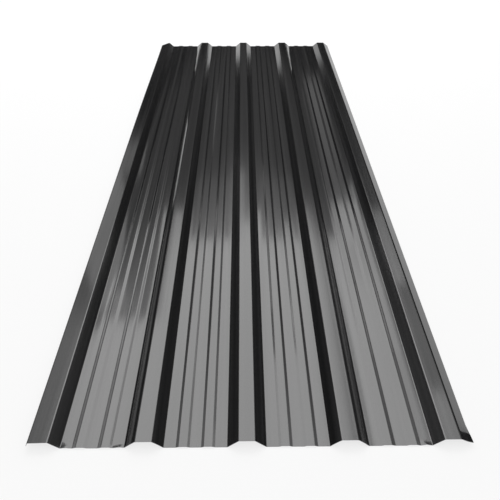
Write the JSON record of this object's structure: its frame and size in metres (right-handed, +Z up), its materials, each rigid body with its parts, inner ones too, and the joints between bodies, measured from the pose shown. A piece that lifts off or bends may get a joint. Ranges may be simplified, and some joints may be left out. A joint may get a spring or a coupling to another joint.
{
  "type": "trapezoidal roofing sheet",
  "caption": "Trapezoidal coated steel roofing and cladding sheet with main ribs, stiffening swages in its pans, a lap flange and a lip, cut to length.",
  "frame": {"origin": "on the floor under the middle of the sheet as it lies on its pans", "axes": "+X across the ribs from the lap flange to the lip, +Y along the ribs, +Z up through the crowns"},
  "size_m": [0.4522, 1.29, 0.01],
  "materials": {
    "coated_steel": "glossy anthracite coil coating on galvanised steel"
  },
  "bodies": {
    "root": {"roof_sheet": "coated_steel"}
  },
  "joints": []
}
